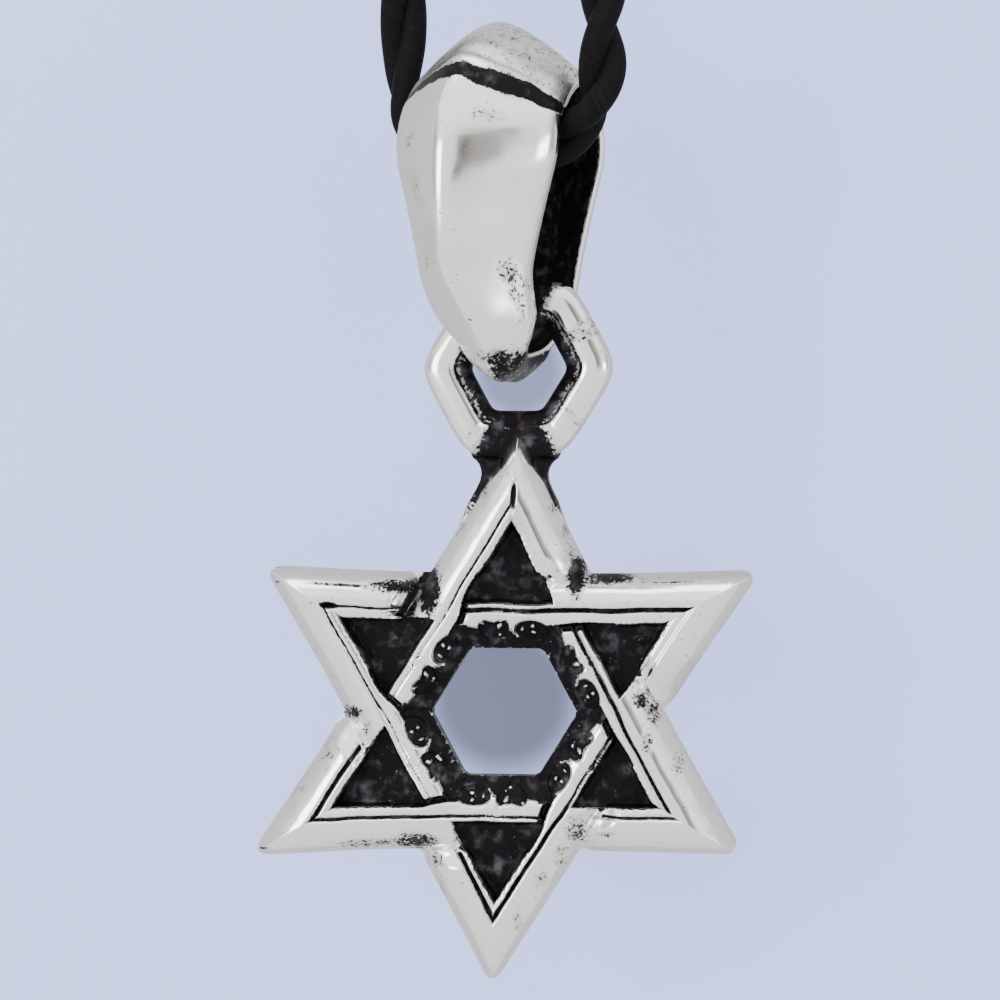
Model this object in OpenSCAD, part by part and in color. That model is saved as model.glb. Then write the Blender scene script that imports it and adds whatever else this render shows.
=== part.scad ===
// Star of David pendant on a cord: a six-pointed star of woven bars, cast in silver in one
// piece with the neck and the hexagonal ring above it. The ring hangs in a tapered, keeled
// bail, and a twisted cord runs through the bail.
// Millimetres. The front faces -Y and up is +Z. The origin is where the cord bears, on the
// line between the two inner rims at the top of the bail.

/* [Star] */
// Middle of the star to the straight outer edge of a bar
star_edge_r = 6.85; // [6.4:0.05:8]
// Length rounded off each of the six points
tip_trim = 0.3; // [0.1:0.05:0.6]
// Thickness from the flat back to the ridge of a bar
star_t = 2.6; // [2.3:0.05:3.2]
// Width of a bar beside the recess of an arm
bar_w = 2.45; // [2.3:0.05:2.6]
// Outer edge of a bar to its ridge
ridge_in = 1.7; // [1.5:0.05:1.8]
// Height of the straight outer wall below the bevel
rim_t = 0.9; // [0.6:0.05:1.3]
// Thickness of the floor of the recesses
floor_t = 1.25; // [0.9:0.05:1.6]
// Width of the groove beside the ridge
groove_w = 0.3; // [0.2:0.05:0.4]
// Depth of that groove
groove_d = 0.25; // [0.15:0.05:0.4]
// Height that is left of a bar above that floor where it dips under another
dip_t = 0.15; // [0.05:0.05:0.4]
// Space left beside a bar where it crosses over the next one
weave_gap = 0.25; // [0.1:0.05:0.4]

/* [Star hole] */
// Middle of the star to the flat sides of the hexagonal hole
hole_r = 3.15; // [2.6:0.05:3.5]
// Thickness of the metal at the rim of the hole
hole_rim_t = 1.5; // [1:0.05:2]
// Flat left between the inner walls of the bars and the slopes round the hole
slope_in = 0.1; // [0.05:0.05:0.2]

/* [Ring and neck] */
// Middle of the ring to its outer flats
ring_r = 4.3; // [3.8:0.05:4.6]
// Middle of the ring to the flats of its hole
ring_hole_r = 2.1; // [1.95:0.05:2.4]
// Middle of the ring to where its front face starts to slope inwards
ring_face_r = 2.9; // [2.7:0.05:3.4]
// Thickness of the ring
ring_t = 1.4; // [1.2:0.05:1.5]
// Back of the star to the back of the ring
ring_set = 0.2; // [0:0.05:0.5]
// Width of the bevel on the outer edges of the ring
ring_bevel = 0.35; // [0.1:0.05:0.5]
// Middle of the ring to the middle of the star
star_drop_len = 17; // [16.2:0.1:17.6]
// Width of the neck below the ring
neck_w = 3.3; // [2.6:0.1:4]
// Thickness of the neck
neck_t = 1.2; // [1.2:0.05:2]
// Size of the fillets between the neck and the ring
neck_fillet = 0.6; // [0.3:0.1:0.8]
// Length of the straight part of the neck
neck_straight = 0.4; // [0.2:0.1:0.6]
// Top of the star to where the spreading neck meets the edges of the top arm
neck_down = 4.7; // [4:0.1:5.4]

/* [Bail] */
// Width of the bail across its shoulders
bail_w = 8.9; // [8:0.1:9.4]
// Height of the space inside the bail
bail_in_h = 12.9; // [12:0.05:16]
// Depth of the space inside, between the edges of its front and back
bail_in_d = 4.4; // [4.3:0.1:5.5]
// Thickness of the bail at its edges
bail_wall = 0.7; // [0.5:0.05:1]
// Height of the keel above the edges where it is highest
keel_h = 3.5; // [2.4:0.1:4]
// Thickness of metal under the keel, more than at the edges
keel_extra = 0.45; // [0.3:0.05:0.9]
// Angle that the bail is turned about the vertical, its front to the left
bail_yaw = 24; // [16:1:25]

/* [Fit] */
// Free space between the foot of the bail and the hole of the ring
ring_play = 0.5; // [0.45:0.05:0.65]
// Inside of the foot of the bail to the axis about which the ring swings
swing_rise = 1.3; // [1:0.1:1.6]
// Sideways place of the ring in the foot of the bail
ring_side = 0.3; // [0.2:0.05:0.4]

/* [Cord] */
// Thickness of the twisted cord
cord_d = 2.35; // [1.8:0.05:2.4]
// Thickness of the barrel knot that joins the two ends
knot_d = 6; // [5.9:0.1:7]
// Length of that knot
knot_len = 5.5; // [4:0.1:8]

/* [Hidden] */
$fn = 48;
SILVER = "#dcdde0";
BLACK = "#17161a";

// Sides of the star and of the ring
SIX = 6;
TURN = 360 / SIX;
// More than any half size of the star or the ring, for solids that are cut to length
FAR = 3 * star_edge_r;

star_tip_r = 2 * star_edge_r - tip_trim;
// The strip beside a groove lies a little lower than the ridge
strip_t = star_t - 0.1;
arm_in_r = star_edge_r - bar_w;
// How far solids that are joined run into each other
OVERLAP = 0.05;
neck_in = 6 * OVERLAP;
BEVEL_STEPS = 5;

// Rows from the top of the bail to its foot, as shares of the named sizes:
// [way down the space inside, half depth, half width, keel height]
BAIL_ROWS = [
    [0.000, 0.00, 1.00, 0.80],
    [0.025, 0.55, 1.00, 0.82],
    [0.075, 0.88, 1.00, 0.88],
    [0.150, 1.00, 1.00, 0.95],
    [0.290, 1.00, 0.97, 1.00],
    [0.420, 1.00, 0.87, 1.00],
    [0.600, 1.00, 0.74, 0.92],
    [0.760, 1.00, 0.65, 0.74],
    [0.870, 1.00, 0.57, 0.56],
    [0.945, 0.93, 0.40, 0.42],
    [0.980, 0.74, 0.31, 0.32],
    [1.000, 0.00, 0.24, 0.22],
];
// Columns of those rows
DOWN = 0;
DEPTH = 1;
WIDTH = 2;
KEEL = 3;
BAIL_STEPS = 3;
// Points across the outside of the bail, as shares of its half width
OUTSIDE = [-1, -0.75, -0.4, 0, 0.4, 0.75, 1];
// Points across the inside, from the other edge back
INSIDE = [1, 0.5, 0, -0.5, -1];
KEEL_ROUND = 1.15;

// Half width of the foot of the bail, and the space it takes in the hole of the turned ring
foot_half_w = bail_w / 2 * BAIL_ROWS[len(BAIL_ROWS) - 1][WIDTH];
foot_reach = foot_half_w / cos(bail_yaw) + ring_t / 2 * tan(bail_yaw) + ring_play;
// The ring sinks until the slanted sides of its hole would meet the edges of the foot
ring_hang = max(ring_play, (foot_reach - ring_hole_r * tan(TURN / 2)) * tan(TURN));
ring_z = ring_hang - bail_in_h - ring_hole_r;
// Height of the swing axis, level with where the ring bears on the foot of the bail
swing_z = swing_rise - bail_in_h;
// The middle of the ring's thickness is straight below the cord
back_y = ring_set + ring_t / 2;

// Route of the cord: from the knot down the left strand, through the bail and back up
CORD_ROUTE = [
    [-1.3, 0.7, 16.5], [-1.3, 0.7, 15], [-2.1, 1.2, 13.3], [-3.2, 1.9, 11.8],
    [-4.4, 2.5, 10.2], [-5, 2.9, 8.2], [-5.2, 3, 6], [-5.2, 3, 4],
    [-5.2, 3.1, 2.4], [-5.2, 3.1, 0.9], [-5, 3, -0.3], [-4.5, 2.7, -1.4],
    [-3.5, 2.1, -2.3], [-2.3, 1.3, -3], [-1.1, 0.6, -3.4], [0, 0, -3.5],
    [1.1, -0.6, -3.4], [2.3, -1.3, -3], [3.5, -2.1, -2.3], [4.5, -2.7, -1.4],
    [5, -3, -0.3], [5.2, -3.1, 0.9], [5.2, -3.1, 2.4], [5.2, -3, 4],
    [5.2, -3, 6], [5, -2.9, 8.2], [4.4, -2.5, 10.2], [3.2, -1.9, 11.8],
    [2.1, -1.2, 13.3], [1.3, -0.7, 15], [1.3, -0.7, 16.5],
];
CORD_SIDES = 8;
knot_z = CORD_ROUTE[0][2];

// Point between b and c on a smooth curve through a, b, c and d
function between(a, b, c, d, t) =
    ((-a + 3 * b - 3 * c + d) * t * t * t + (2 * a - 5 * b + 4 * c - d) * t * t
    + (c - a) * t + 2 * b) / 2;

// Closed curve through the points, with steps points for each
function smooth_loop(points, steps) = let (n = len(points)) [
    for (i = [0 : n - 1], s = [0 : steps - 1])
        between(points[(i + n - 1) % n], points[i], points[(i + 1) % n],
            points[(i + 2) % n], s / steps)
];

// A bevel that rises in a quarter ellipse from the outer wall to the ridge
function bevel_points() = [
    for (i = [0 : BEVEL_STEPS]) let (a = 90 * i / BEVEL_STEPS)
        [star_edge_r - ridge_in * (1 - cos(a)), rim_t + (star_t - rim_t) * sin(a)]
];

// Sections run outwards from the middle of the star or the ring, [distance, height]

// Outline of a triangle of the star before its middle is cut out
BAR_SECTION = concat([[-FAR, 0], [star_edge_r, 0]], bevel_points(), [[-FAR, star_t]]);

// What is cut out inside the ridges: the groove, the lower strip and the deep recess
INNER_CUT = [
    [-FAR, star_t + 1], [star_edge_r - ridge_in, star_t + 1],
    [star_edge_r - ridge_in, star_t],
    [star_edge_r - ridge_in - groove_w / 2, star_t - groove_d],
    [star_edge_r - ridge_in - groove_w, strip_t], [arm_in_r, strip_t],
    [arm_in_r, floor_t], [-FAR, floor_t],
];

// The hole of the star with the slopes round it
HOLE_CUT = funnel_cut(hole_r, hole_rim_t, arm_in_r - slope_in, strip_t);

RING_SECTION = [
    [-FAR, 0], [ring_r - ring_bevel, 0], [ring_r, ring_bevel],
    [ring_r, ring_t - ring_bevel], [ring_r - ring_bevel, ring_t], [-FAR, ring_t],
];
RING_CUT = funnel_cut(ring_hole_r, ring_t / 2, ring_face_r, ring_t);

// Section of a hole r1 wide that opens from height z1 on, to r2 at height z2
function funnel_cut(r1, z1, r2, z2) = [
    [-FAR, -1], [r1, -1], [r1, z1], [r2 + (r2 - r1), z2 + (z2 - z1)],
    [-FAR, z2 + (z2 - z1)],
];

// A solid with n equal mitred sides of the given section
module many_sided(n, section) {
    intersection_for (i = [0 : n - 1])
        rotate([90, 0, 90 + 360 / n * i])
            linear_extrude(height = 2 * FAR, center = true)
                polygon(section);
}

// A prism whose flat sides lie at distance r
module prism(n, r, height) {
    rotate([0, 0, 90 + 180 / n])
        cylinder(r = r / cos(180 / n), h = height, $fn = n);
}

// The space over a bar where it crosses over the next bar clockwise
module crossing_cut() {
    translate([0, arm_in_r - weave_gap, floor_t + dip_t])
        cube([star_edge_r, bar_w + 2 * weave_gap, star_t]);
}

// One of the two triangles, with one bar across the top. Each of its bars dips under the
// bar of the other triangle that lies before it clockwise.
module triangle() {
    difference() {
        difference() {
            intersection() {
                many_sided(3, BAR_SECTION);
                prism(SIX, star_tip_r, star_t + 1);
            }
            many_sided(3, INNER_CUT);
        }
        for (i = [0 : 2])
            rotate([0, 0, TURN + 2 * TURN * i])
                crossing_cut();
    }
}

// The star, flat on its back with its front up
module star() {
    difference() {
        union() {
            triangle();
            rotate([0, 0, TURN])
                triangle();
            prism(SIX, arm_in_r + OVERLAP, strip_t);
        }
        many_sided(SIX, HOLE_CUT);
    }
}

// The hexagonal ring, flat on the same plane
module ring() {
    translate([0, 0, ring_set])
        difference() {
            many_sided(SIX, RING_SECTION);
            many_sided(SIX, RING_CUT);
        }
}

// The web between the ring and the top arm, with fillets below the ring
module neck() {
    foot = star_drop_len - ring_r;
    half_w = neck_w / 2;
    f = neck_fillet;
    right = [
        [half_w + f, foot + neck_in], [half_w + f, foot],
        [half_w + 0.3 * f, foot - 0.3 * f], [half_w, foot - f],
        [half_w, foot - f - neck_straight],
        [neck_down * tan(TURN / 2), 2 * star_edge_r - neck_down],
    ];
    left = [for (i = [len(right) - 1 : -1 : 0]) [-right[i][0], right[i][1]]];
    linear_extrude(height = neck_t)
        polygon(concat(right, left));
}

// Star, neck and ring, one casting
module star_drop() {
    color(SILVER)
        translate([ring_side, back_y, ring_z])
            rotate([90, 0, 0]) {
                ring();
                translate([0, -star_drop_len, 0]) {
                    star();
                    neck();
                }
            }
}

// The closed edge line of the bail with its width and keel: [depth, height, half width, keel]
function bail_line() =
    let (
        front = [for (row = BAIL_ROWS) [
            -row[DEPTH] * bail_in_d / 2, -row[DOWN] * bail_in_h,
            row[WIDTH] * bail_w / 2, row[KEEL] * keel_h,
        ]],
        back = [for (i = [len(front) - 2 : -1 : 1])
            [-front[i][0], front[i][1], front[i][2], front[i][3]]]
    )
    smooth_loop(concat(front, back), BAIL_STEPS);

// One ring of points round the metal of the bail at place i of its edge line
function bail_ring(line, i) =
    let (
        n = len(line),
        here = line[i],
        ahead = line[(i + 1) % n] - line[(i + n - 1) % n],
        along = [ahead[0], ahead[1]] / norm([ahead[0], ahead[1]]),
        out = [along[1], -along[0]],
        inner_keel = max(0, here[3] - keel_extra)
    )
    concat(
        [for (x = OUTSIDE) bail_point(here, out, x, bail_wall + here[3] * keel_rise(x))],
        [for (x = INSIDE) bail_point(here, out, x, inner_keel * keel_rise(x))]
    );

function keel_rise(x) = 1 - pow(abs(x), KEEL_ROUND);

function bail_point(here, out, x, height) =
    [x * here[2], here[0] + out[0] * height, here[1] + out[1] * height];

// The bail: a tapered band bent into a closed loop, with a keel along its middle
module bail() {
    line = bail_line();
    n = len(line);
    m = len(OUTSIDE) + len(INSIDE);
    color(SILVER)
        rotate([0, 0, -bail_yaw])
            polyhedron(
                points = [for (i = [0 : n - 1]) each bail_ring(line, i)],
                faces = [for (i = [0 : n - 1], j = [0 : m - 1]) let (
                    a = i * m + j,
                    b = i * m + (j + 1) % m,
                    c = (i + 1) % n * m + (j + 1) % m,
                    d = (i + 1) % n * m + j
                ) each [[a, b, c], [a, c, d]]]
            );
}

// Unit vector
function unit(v) = v / norm(v);

// One ring of points round the cord at place i of its route
function cord_ring(i) =
    let (
        last = len(CORD_ROUTE) - 1,
        along = unit(CORD_ROUTE[min(i + 1, last)] - CORD_ROUTE[max(i - 1, 0)]),
        side = unit(cross(along, [sin(bail_yaw), cos(bail_yaw), 0])),
        other = cross(along, side)
    )
    [for (j = [0 : CORD_SIDES - 1]) let (a = 360 * j / CORD_SIDES)
        CORD_ROUTE[i] + cord_d / 2 * (cos(a) * side + sin(a) * other)];

// The cord: from the knot through the bail and back to the knot
module cord() {
    n = len(CORD_ROUTE);
    m = CORD_SIDES;
    color(BLACK)
        polyhedron(
            points = [for (i = [0 : n - 1]) each cord_ring(i)],
            faces = concat(
                [[for (j = [0 : m - 1]) j]],
                [for (i = [0 : n - 2], j = [0 : m - 1]) let (
                    a = i * m + j,
                    b = i * m + (j + 1) % m
                ) each [[a, a + m, b + m], [a, b + m, b]]],
                [[for (j = [m - 1 : -1 : 0]) (n - 1) * m + j]]
            )
        );
}

// The barrel knot in which both ends of the cord are bound
module cord_knot() {
    color(BLACK)
        translate([0, 0, knot_z])
            rotate_extrude()
                polygon([
                    [0, 0], [knot_d * 0.45, 0], [knot_d / 2, knot_d * 0.05],
                    [knot_d / 2, knot_len - knot_d * 0.15], [knot_d * 0.35, knot_len],
                    [0, knot_len],
                ]);
}

bail();
star_drop();
cord();
cord_knot();
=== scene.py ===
import math

import bmesh
import bpy
from mathutils import Matrix, Vector, noise


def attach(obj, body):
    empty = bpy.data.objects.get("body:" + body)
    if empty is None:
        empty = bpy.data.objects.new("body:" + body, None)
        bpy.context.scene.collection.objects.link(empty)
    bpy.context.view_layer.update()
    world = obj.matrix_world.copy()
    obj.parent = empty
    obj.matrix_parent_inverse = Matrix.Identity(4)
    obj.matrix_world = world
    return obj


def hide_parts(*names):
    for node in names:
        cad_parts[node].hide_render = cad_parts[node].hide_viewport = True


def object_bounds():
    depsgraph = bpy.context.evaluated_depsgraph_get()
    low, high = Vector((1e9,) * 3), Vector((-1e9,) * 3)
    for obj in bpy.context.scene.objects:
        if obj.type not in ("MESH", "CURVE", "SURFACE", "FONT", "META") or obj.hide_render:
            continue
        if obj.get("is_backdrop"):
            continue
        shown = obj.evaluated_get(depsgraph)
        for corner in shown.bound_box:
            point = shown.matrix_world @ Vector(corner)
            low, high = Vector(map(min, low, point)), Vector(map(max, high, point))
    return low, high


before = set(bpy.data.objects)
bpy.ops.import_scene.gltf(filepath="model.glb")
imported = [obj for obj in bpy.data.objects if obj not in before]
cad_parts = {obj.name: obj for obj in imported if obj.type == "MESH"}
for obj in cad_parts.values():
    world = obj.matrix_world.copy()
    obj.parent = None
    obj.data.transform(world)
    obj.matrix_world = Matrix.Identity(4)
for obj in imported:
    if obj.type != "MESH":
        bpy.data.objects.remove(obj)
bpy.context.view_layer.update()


# The camera looks at the pendant from the front with a long lens, a little from below and from
# the right, and leans so that the hanging piece tilts slightly to the right in the picture.
MM = 0.001
LENS = 150
SENSOR = 36
VIEW_WIDTH = 49.5 * MM
CAMERA_AZIMUTH = 5.0
CAMERA_ELEVATION = 1.0
CAMERA_ROLL = 0.3
CAMERA_AIM = Vector((0.05 * MM, 0.0, -20.2 * MM))

camera_data = bpy.data.cameras.new("camera")
camera_data.lens = LENS
camera_data.sensor_width = SENSOR
camera_data.clip_start = 1 * MM
camera_data.clip_end = 5.0
camera = bpy.data.objects.new("camera", camera_data)
bpy.context.scene.collection.objects.link(camera)
azimuth = math.radians(CAMERA_AZIMUTH)
elevation = math.radians(CAMERA_ELEVATION)
towards = Vector((
    math.sin(azimuth) * math.cos(elevation),
    -math.cos(azimuth) * math.cos(elevation),
    math.sin(elevation),
))
turn = (-towards).to_track_quat("-Z", "Y").to_matrix().to_4x4()
lean = Matrix.Rotation(math.radians(CAMERA_ROLL), 4, "Z")
camera.matrix_world = (
    Matrix.Translation(CAMERA_AIM + towards * (VIEW_WIDTH * LENS / SENSOR)) @ turn @ lean
)
bpy.context.scene.camera = camera


# The cord is two plies of black silky filament twisted together. It runs from the knot down
# the left strand, through the top of the bail and back up the right strand to the knot.
CORD_ROUTE = [
    (-1.3, 0.7, 16.5), (-1.3, 0.7, 15), (-2.1, 1.2, 13.3), (-3.2, 1.9, 11.8),
    (-4.4, 2.5, 10.2), (-5, 2.9, 8.2), (-5.2, 3, 6), (-5.2, 3, 4),
    (-5.2, 3.1, 2.4), (-5.2, 3.1, 0.9), (-5, 3, -0.3), (-4.5, 2.7, -1.4),
    (-3.5, 2.1, -2.3), (-2.3, 1.3, -3), (-1.1, 0.6, -3.4), (0, 0, -3.5),
    (1.1, -0.6, -3.4), (2.3, -1.3, -3), (3.5, -2.1, -2.3), (4.5, -2.7, -1.4),
    (5, -3, -0.3), (5.2, -3.1, 0.9), (5.2, -3.1, 2.4), (5.2, -3, 4),
    (5.2, -3, 6), (5, -2.9, 8.2), (4.4, -2.5, 10.2), (3.2, -1.9, 11.8),
    (2.1, -1.2, 13.3), (1.3, -0.7, 15), (1.3, -0.7, 16.5),
]
CORD_D = 2.35
PLY_R = 0.67
PLY_OFFSET = CORD_D / 2 - PLY_R
# Degrees of twist for each mm: looser down the left strand, tighter from the bail on
LOOSE_TWIST = 25
TIGHT_TWIST = 44.5
LOOSE_LENGTH = 18
TWIST_START = 67
PLY_SIDES = 28
CORD_STEPS = 12
FILAMENT_SLANT = 0.55


def between(a, b, c, d, t):
    """Point between b and c on a smooth curve through all four."""
    return ((-a + 3 * b - 3 * c + d) * t**3 + (2 * a - 5 * b + 4 * c - d) * t**2
            + (c - a) * t + 2 * b) / 2


def smooth_route(points, steps):
    """Many points on a smooth curve through the given ones."""
    ends = [2 * points[0] - points[1], *points, 2 * points[-1] - points[-2]]
    fine = []
    for i in range(1, len(ends) - 2):
        fine += [between(*ends[i - 1:i + 3], s / steps) for s in range(steps)]
    return fine + [points[-1]]


def carried_frames(route):
    """Along the route: the direction, a side that turns as little as it can, and the length."""
    frames = []
    side = Vector((0.4, 0.9, 0))
    gone = 0.0
    for i, point in enumerate(route):
        along = (route[min(i + 1, len(route) - 1)] - route[max(i - 1, 0)]).normalized()
        side = (side - along * side.dot(along)).normalized()
        if i:
            gone += (point - route[i - 1]).length
        frames.append((along, side, along.cross(side), gone))
    return frames


def sweep_tube(bm, centres, frames, radius, sides, slant):
    """A closed tube along the centres, with its own UV map: round it and along it in mm."""
    uv_layer = bm.loops.layers.uv.verify()
    rings = []
    for centre, (along, side, other, gone) in zip(centres, frames):
        ring = bmesh.ops.create_circle(bm, segments=sides, radius=radius)["verts"]
        place = Matrix((
            (side.x, other.x, along.x, centre.x), (side.y, other.y, along.y, centre.y),
            (side.z, other.z, along.z, centre.z), (0, 0, 0, 1)))
        bmesh.ops.transform(bm, matrix=place, verts=ring)
        rings.append(ring)
    for i in range(len(rings) - 1):
        for j in range(sides):
            k = (j + 1) % sides
            face = bm.faces.new((rings[i][j], rings[i][k], rings[i + 1][k], rings[i + 1][j]))
            face.smooth = True
            corners = ((j, i), (j + 1, i), (j + 1, i + 1), (j, i + 1))
            for loop, (u, v) in zip(face.loops, corners):
                length = frames[v][3]
                loop[uv_layer].uv = (u / sides + slant * length, length)
    bm.faces.new(list(reversed(rings[0])))
    bm.faces.new(rings[-1])


def finished(bm, name, body):
    """Makes the mesh, in mm until here, a piece in metres that rides on its body."""
    bmesh.ops.scale(bm, vec=(MM, MM, MM), verts=bm.verts)
    mesh = bpy.data.meshes.new(name)
    bm.to_mesh(mesh)
    bm.free()
    piece = bpy.data.objects.new(name, mesh)
    bpy.context.scene.collection.objects.link(piece)
    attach(piece, body)
    return piece


route = smooth_route([Vector(p) for p in CORD_ROUTE], CORD_STEPS)
route_frames = carried_frames(route)
cord_mesh = bmesh.new()
for ply in range(2):
    centres = []
    for point, (along, side, other, gone) in zip(route, route_frames):
        twist = LOOSE_TWIST * min(gone, LOOSE_LENGTH) + TIGHT_TWIST * max(0, gone - LOOSE_LENGTH)
        turned = math.radians(TWIST_START + 180 * ply + twist)
        centres.append(point + PLY_OFFSET * (math.cos(turned) * side + math.sin(turned) * other))
    ply_frames = carried_frames(centres)
    sweep_tube(cord_mesh, centres, ply_frames, PLY_R, PLY_SIDES, FILAMENT_SLANT)
cord = finished(cord_mesh, "twisted_cord", "hanger")
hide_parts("cord")


# The knot that joins the two ends: the cord's own plies wound round both strands in a barrel,
# with the two cut and melted ends standing out of its top.
KNOT_BASE_Z = 16.5
KNOT_LENGTH = 5.5
KNOT_R = 3.0
WRAP_R = 0.6
WRAPS = 4.2
WRAP_STEPS = 40
WRAP_TOP_GAP = 0.35
# The first and the last share of the wrap tucks in under the rest by so much
TUCK_SHARE = 0.04
TUCK_IN = 1.1
END_R = 1.0
END_AT = Vector((1.15, -0.6, 0))

knot_mesh = bmesh.new()
wrap_centres = []
wrap_low = KNOT_BASE_Z + WRAP_R
wrap_high = KNOT_BASE_Z + KNOT_LENGTH - WRAP_TOP_GAP - WRAP_R
for i in range(int(WRAPS * WRAP_STEPS) + 1):
    angle = math.tau * i / WRAP_STEPS
    share = i / (WRAPS * WRAP_STEPS)
    tuck = max(0.0, abs(share - 0.5) - 0.5 + TUCK_SHARE) / TUCK_SHARE
    reach = KNOT_R - WRAP_R - TUCK_IN * tuck
    wrap_centres.append(Vector((
        reach * math.cos(angle), reach * math.sin(angle),
        wrap_low + (wrap_high - wrap_low) * share)))
sweep_tube(knot_mesh, wrap_centres, carried_frames(wrap_centres), WRAP_R, 20, FILAMENT_SLANT)
for side_sign in (-1, 1):
    end_centres = [side_sign * END_AT + Vector((0, 0, KNOT_BASE_Z + h))
                   for h in (0.0, 2.0, 4.0, KNOT_LENGTH - 0.25, KNOT_LENGTH)]
    end_frames = carried_frames(end_centres)
    sweep_tube(knot_mesh, end_centres, end_frames, END_R, 20, FILAMENT_SLANT)
knot = finished(knot_mesh, "barrel_knot", "hanger")
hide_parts("cord_knot")


# Black filament: fine slanted threads from the piece's own UV map, with hardly any gloss.
CORD_BLACK = (0.003, 0.003, 0.0035, 1)
CORD_GREY = (0.009, 0.009, 0.01, 1)

cord_finish = bpy.data.materials.new("black_filament")
cord_finish.use_nodes = True
nodes = cord_finish.node_tree.nodes
links = cord_finish.node_tree.links
shader = nodes["Principled BSDF"]
shader.inputs["Roughness"].default_value = 0.6
shader.inputs["Specular IOR Level"].default_value = 0.07
uv = nodes.new("ShaderNodeUVMap")
threads_at = nodes.new("ShaderNodeMapping")
threads_at.inputs["Scale"].default_value = (34, 0.35, 1)
threads = nodes.new("ShaderNodeTexNoise")
threads.inputs["Scale"].default_value = 1.0
threads.inputs["Detail"].default_value = 3
thread_tint = nodes.new("ShaderNodeValToRGB")
thread_tint.color_ramp.elements[0].position = 0.35
thread_tint.color_ramp.elements[0].color = CORD_BLACK
thread_tint.color_ramp.elements[1].position = 0.75
thread_tint.color_ramp.elements[1].color = CORD_GREY
thread_bump = nodes.new("ShaderNodeBump")
thread_bump.inputs["Strength"].default_value = 0.6
thread_bump.inputs["Distance"].default_value = 0.06 * MM
links.new(uv.outputs["UV"], threads_at.inputs["Vector"])
links.new(threads_at.outputs["Vector"], threads.inputs["Vector"])
links.new(threads.outputs["Fac"], thread_tint.inputs["Fac"])
links.new(thread_tint.outputs["Color"], shader.inputs["Base Color"])
links.new(threads.outputs["Fac"], thread_bump.inputs["Height"])
links.new(thread_bump.outputs["Normal"], shader.inputs["Normal"])
for piece in (cord, knot):
    piece.data.materials.append(cord_finish)


# The star is cast in silver: six bars with rounded outer sides, a ridge, a groove and a lower
# strip, woven over and under one another, with blackened recesses in the arms and a scrolled
# slope round the pierced hexagonal middle. Its back is flat.
STAR_EDGE_R = 6.85
TIP_ROUND_R = 0.5
STAR_T = 2.6
RIDGE_IN = 1.6
RIM_T = 0.9
# The outer bevel rises steeply from the rim and rounds over to the ridge
BEVEL_POWER = 2.1
BEVEL_ROUND = 0.75
BAR_W = 2.45
STRIP_T = 2.5
STRIP_EDGE_DROP = 0.06
FLOOR_T = 1.25
FLOOR_WALL_W = 0.26
GROOVE_HALF_W = 0.16
GROOVE_D = 0.32
HOLE_R = 3.15
HOLE_RIM_T = 1.5
HOLE_ROUND = 0.08
# A distance from the middle that lies between the hole and the outline
BETWEEN_R = 4
ARM_BASE_IN = 1.3
BACK_BEVEL_W = 0.15
BACK_BEVEL_T = 0.18
STAR_X = 0.3
STAR_BACK_Y = 0.9
RING_Z = -13.67
STAR_Z = RING_Z - 17
# The drop hangs a little askew: how far it shifts right for each mm up, and where it doesn't
DROP_LEAN = 0.036
LEAN_FROM = -1
STAR_ROWS = 100
STAR_COLUMNS = 70

# Each bar by the direction that its outer side faces, in degrees, with the triangle that it
# belongs to. Then, before, between and after its two crossings: how deep its groove is, how far
# inside its outer side the groove lies, and how wide the bar is
BARS = [
    (90, "down", (0.45, 1.0, 1.0), (1.75, 1.78, 1.76), (2.2, 2.45, 2.35)),
    (30, "up", (0.12, 0.9, 0.75), (1.75, 1.9, 2.02), (2.08, 2.45, 2.45)),
    (-30, "down", (0.0, 0.8, 0.95), (1.8, 1.65, 1.75), (2.2, 2.35, 2.05)),
    (-90, "up", (0.55, 0.6, 0.7), (1.8, 1.75, 1.7), (2.15, 2.45, 2.15)),
    (-150, "down", (1.0, 0.3, 0.4), (1.8, 1.8, 1.68), (2.05, 2.45, 2.02)),
    (150, "up", (0.95, 0.3, 0.42), (1.66, 1.8, 1.75), (2.05, 2.4, 2.1)),
]
CROSSING_AT = 3.3
CROSSING_HALF = 0.9
# How far along a bar the corners between the motifs lie
CORNER_AT = 2.45
# How far the tip of each arm is moved, by its direction, and how far round it that reaches
TIP_REACH = 4.5
TIP_SHIFTS = [(210, -0.52, -0.42), (150, -0.45, 0.27), (30, 0.48, 0.22), (90, 0.15, 0.35),
              (-30, 0.22, -0.08), (-90, -0.05, 0.0)]
# Each crossing by its direction: the triangle on top, how far the lower bar has sunk where it
# meets the outer side of the upper one, and where it comes out inside
CROSSINGS = {
    0: ("up", 0.5, 0.8),
    60: ("down", 0.1, 0.8),
    120: ("up", 1.2, 0.7),
    180: ("down", 0.45, 0.7),
    240: ("up", 0.4, 0.8),
    300: ("down", 0.45, 0.8),
}
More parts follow.
